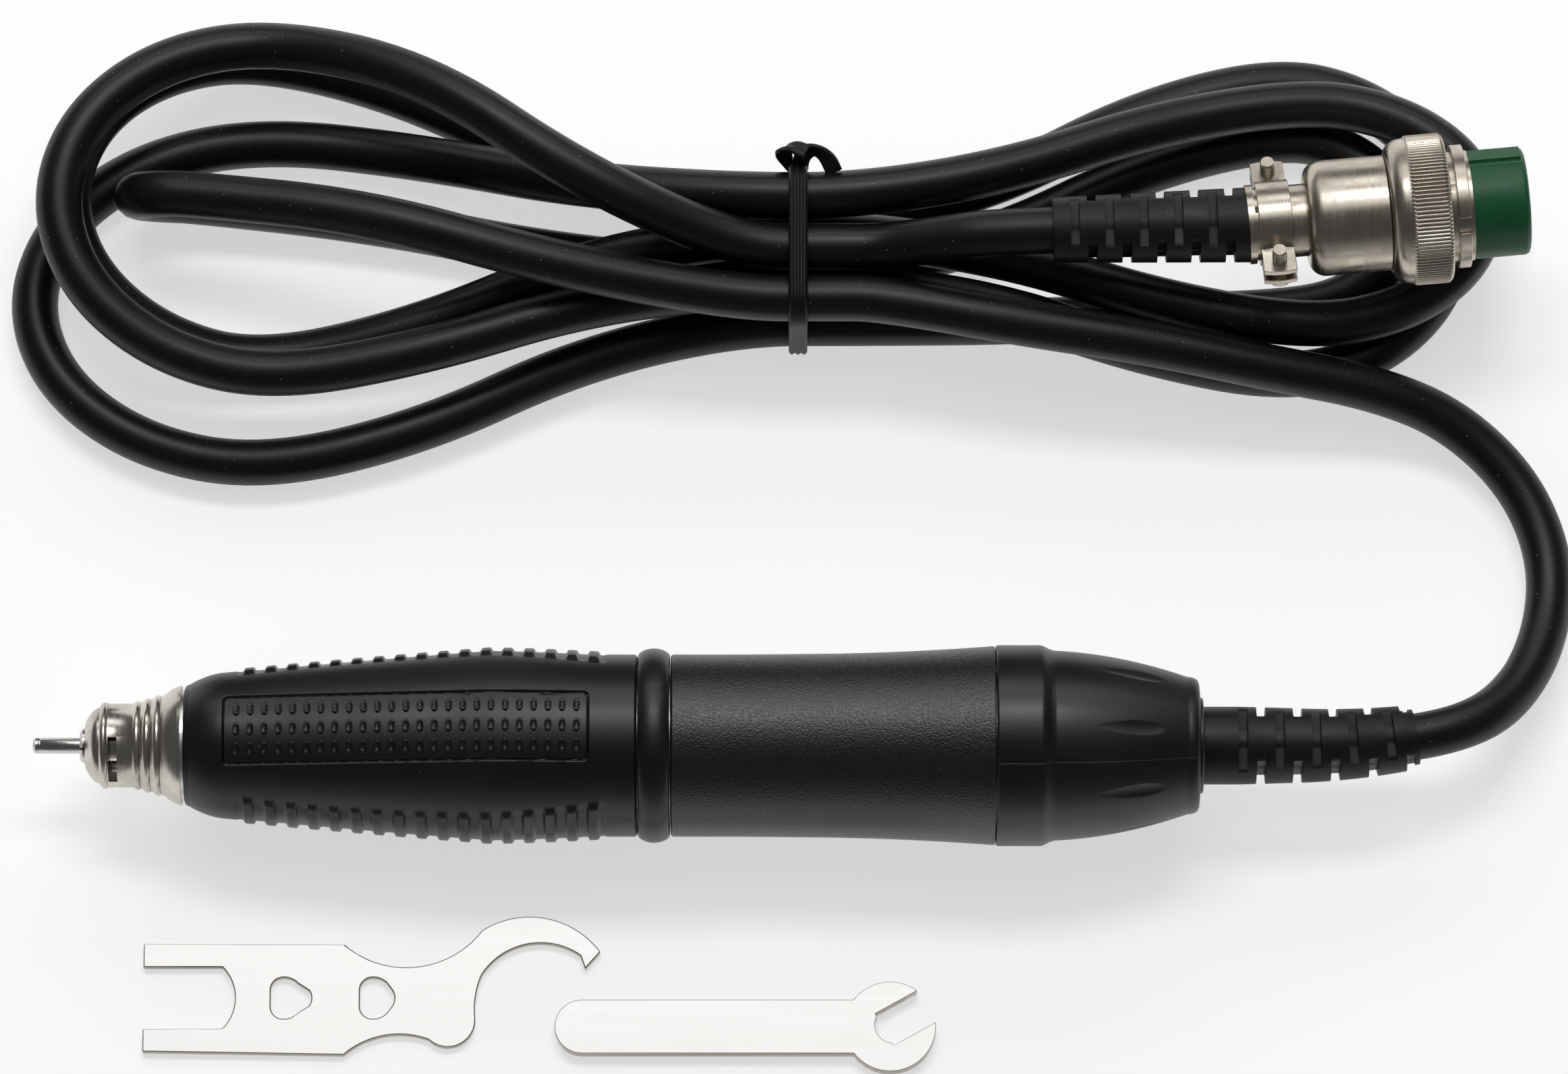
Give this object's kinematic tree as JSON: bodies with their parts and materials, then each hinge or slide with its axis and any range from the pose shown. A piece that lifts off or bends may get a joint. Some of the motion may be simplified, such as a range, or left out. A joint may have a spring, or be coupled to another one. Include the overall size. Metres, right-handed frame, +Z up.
{
  "type": "micromotor handpiece with cable and plug",
  "caption": "Black micromotor handpiece with twist-grip collet chuck, tool shank, motor, tied electric cable, round multi-pole plug with knurled nut, and flat spanners",
  "frame": {"origin": "on the spindle axis, at the front face of the collet", "axes": "the free shank points to -X, the cable and plug lie on the +Y side, Z is up from the surface"},
  "size_m": [0.2338, 0.1587, 0.0365],
  "materials": {
    "satin_black": "satin black moulding",
    "black_lacquer": "fine-textured satin black coat",
    "nickel": "satin nickel plate",
    "steel": "ground steel",
    "aluminium": "turned aluminium",
    "copper": "copper and brass",
    "board": "green board",
    "green_insert": "green insulator",
    "black_rubber": "black rubber",
    "dark_plastic": "dark plastic"
  },
  "bodies": {
    "root": {"spindle_outer_rings": "steel", "bearing_spacer": "steel", "bearing_carrier": "steel", "nose_cap": "nickel", "nose_barrel": "nickel", "head_tube": "aluminium", "front_bell": "aluminium", "rear_bell": "aluminium", "motor_outer_rings": "steel", "stator_core": "steel", "stator_winding": "copper", "motor_tube": "aluminium", "motor_housing": "black_lacquer", "sensor_board": "board", "motor_leads": "copper", "rear_cap": "satin_black", "cap_boss": "satin_black", "handpiece_relief": "black_rubber", "inner_cable": "black_rubber", "cable_clamp": "dark_plastic", "clamp_plate_screws": "steel", "cable_lead": "black_rubber", "cable_hank": "black_rubber", "plug_lead": "black_rubber", "cable_tie": "black_rubber", "plug_relief": "black_rubber", "plug_core": "black_rubber", "plug_neck": "nickel", "clamp_halves": "nickel", "clamp_screws": "nickel", "plug_shell": "nickel", "plug_barrel": "nickel", "retaining_ring": "nickel", "plug_insulator": "green_insert", "contact_sockets": "copper", "plug_wires": "copper"},
    "spindle": {"chuck_spindle": "steel", "spindle_inner_rings": "steel", "spindle_balls": "steel", "drawbar_springs": "steel", "coupling_front": "satin_black", "coupling_rear": "satin_black", "motor_shaft": "steel", "rotor_magnet": "steel", "sensor_magnet": "steel", "motor_inner_rings": "steel", "motor_balls": "steel"},
    "drawbar": {"collet": "steel", "drawbar": "steel", "cross_pin": "steel", "thrust_ring": "steel"},
    "shank": {"tool_shank": "steel"},
    "grip": {"grip_sleeve": "satin_black", "roll_ring": "satin_black", "cam_ring": "aluminium"},
    "collar": {"release_collar": "steel", "cam_pins": "steel"},
    "nut": {"coupling_nut": "nickel"},
    "spanner_a": {"combination_spanner": "nickel"},
    "spanner_b": {"open_end_spanner": "nickel"}
  },
  "joints": [
    {"name": "spindle_turn", "type": "hinge", "parent": "root", "child": "spindle", "pos_m": [0.03, 0, 0], "axis": [1, 0, 0], "continuous": true},
    {"name": "drawbar_push", "type": "slide", "parent": "spindle", "child": "drawbar", "axis": [-1, 0, 0], "range_m": [0, 0.001], "deforming": ["drawbar_springs"]},
    {"name": "shank_pull", "type": "slide", "parent": "drawbar", "child": "shank", "axis": [-1, 0, 0], "range_m": [0, 0.0195]},
    {"name": "chuck_twist", "type": "hinge", "parent": "root", "child": "grip", "pos_m": [0.05, 0, 0], "axis": [1, 0, 0], "range_deg": [0, 60]},
    {"name": "collar_push", "type": "slide", "parent": "root", "child": "collar", "axis": [-1, 0, 0], "range_m": [0, 0.001]},
    {"name": "nut_turn", "type": "hinge", "parent": "root", "child": "nut", "pos_m": [0.1725, 0.0769, 0.0106], "axis": [0.9959, 0.0906, 0], "continuous": true},
    {"name": "combination_spanner_lift", "type": "slide", "parent": "root", "child": "spanner_a", "axis": [0, 0, 1], "range_m": [0, 0.05]},
    {"name": "open_end_spanner_lift", "type": "slide", "parent": "root", "child": "spanner_b", "axis": [0, 0, 1], "range_m": [0, 0.05]}
  ],
  "couplings": [
    {"joint": "drawbar_push", "follows": "chuck_twist", "m_per_rad": 0.000955},
    {"joint": "collar_push", "follows": "chuck_twist", "m_per_rad": 0.000955}
  ]
}
